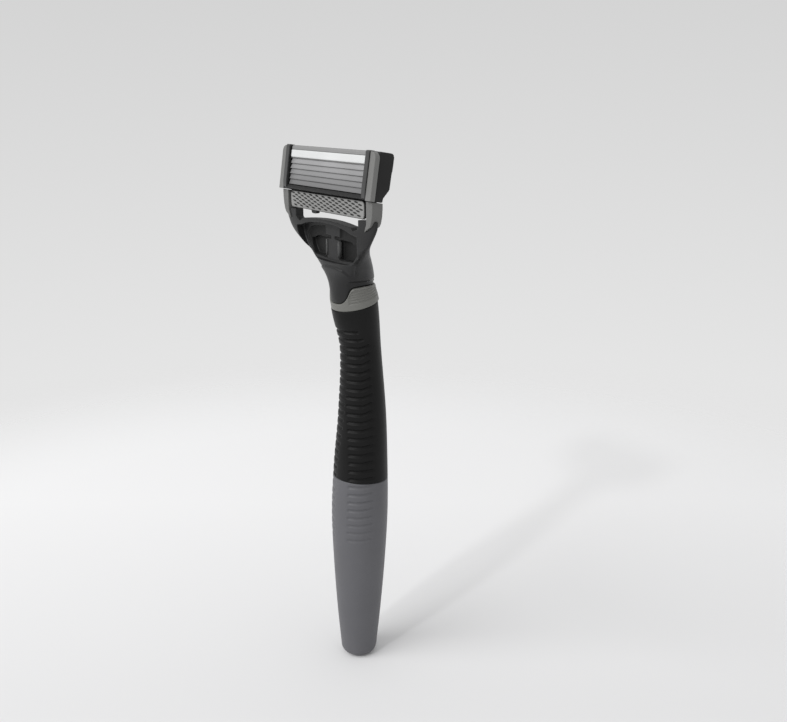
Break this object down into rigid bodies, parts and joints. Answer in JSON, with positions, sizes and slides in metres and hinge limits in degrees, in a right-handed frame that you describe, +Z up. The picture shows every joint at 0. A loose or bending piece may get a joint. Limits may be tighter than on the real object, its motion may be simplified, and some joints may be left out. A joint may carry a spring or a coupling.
{
  "type": "cartridge razor",
  "caption": "Wet razor: round ribbed handle with rubber grip and grey end, leaning neck with release button, plug-on dark yoke, spring-returned pivoting blade head with white lubricating strip.",
  "frame": {"origin": "centre of the small flat at the butt of the handle", "axes": "+Z up the handle from the butt to the head, -Y towards the shaving side, X along the width of the head and the blades"},
  "size_m": [0.041, 0.0177, 0.1401],
  "materials": {
    "core_zinc": "cast, dark coated",
    "shell_grey": "fine matte",
    "grip_rubber": "matte, ribbed",
    "collar_grey": "satin moulded",
    "button_grey": "satin moulded",
    "spring_steel": "drawn wire",
    "yoke_black": "satin moulded, dark",
    "arm_grey": "satin moulded",
    "pin_steel": "turned",
    "housing_black": "satin moulded, black",
    "bezel_grey": "satin moulded",
    "clip_metal": "dark coated strip",
    "cap_grey": "satin moulded",
    "strip_white": "smooth, slightly wet sheen",
    "blade_steel": "ground and coated",
    "support_steel": "rolled sheet",
    "guard_rubber": "soft, dimpled"
  },
  "bodies": {
    "handle": {"handle_core": "core_zinc", "lower_handle": "shell_grey", "grip_sleeve": "grip_rubber", "collar": "collar_grey", "button_spring": "spring_steel"},
    "button": {"release_button": "button_grey"},
    "yoke": {"yoke": "yoke_black", "arm_left": "arm_grey", "arm_right": "arm_grey", "pivot_pin_left": "pin_steel", "pivot_pin_right": "pin_steel", "return_spring_left": "spring_steel", "return_spring_right": "spring_steel"},
    "head": {"head_housing": "housing_black", "bezel_left": "bezel_grey", "bezel_right": "bezel_grey", "blade_clip_left": "clip_metal", "blade_clip_right": "clip_metal", "cap": "cap_grey", "lubricating_strip": "strip_white", "guard_pad": "guard_rubber", "blade_1": "blade_steel", "blade_2": "blade_steel", "blade_3": "blade_steel", "blade_4": "blade_steel", "blade_5": "blade_steel", "blade_support_1": "support_steel", "blade_support_2": "support_steel", "blade_support_3": "support_steel", "blade_support_4": "support_steel", "blade_support_5": "support_steel"}
  },
  "joints": [
    {"name": "head_pivot", "type": "hinge", "parent": "yoke", "child": "head", "pos_m": [0, -0.0063, 0.1273], "axis": [-1, 0, 0], "range_deg": [0, 40], "stiffness_Nm_per_rad": 0.03, "springref_deg": -11.46, "deforming": ["return_spring_left", "return_spring_right"]},
    {"name": "cartridge_release", "type": "slide", "parent": "handle", "child": "yoke", "axis": [0, -0.2079, 0.9781], "range_m": [0, 0.012]},
    {"name": "release_button", "type": "slide", "parent": "handle", "child": "button", "axis": [0, -0.9781, -0.2079], "range_m": [0, 0.0008], "stiffness_N_per_m": 500, "springref_m": -0.002, "deforming": ["button_spring"]}
  ]
}
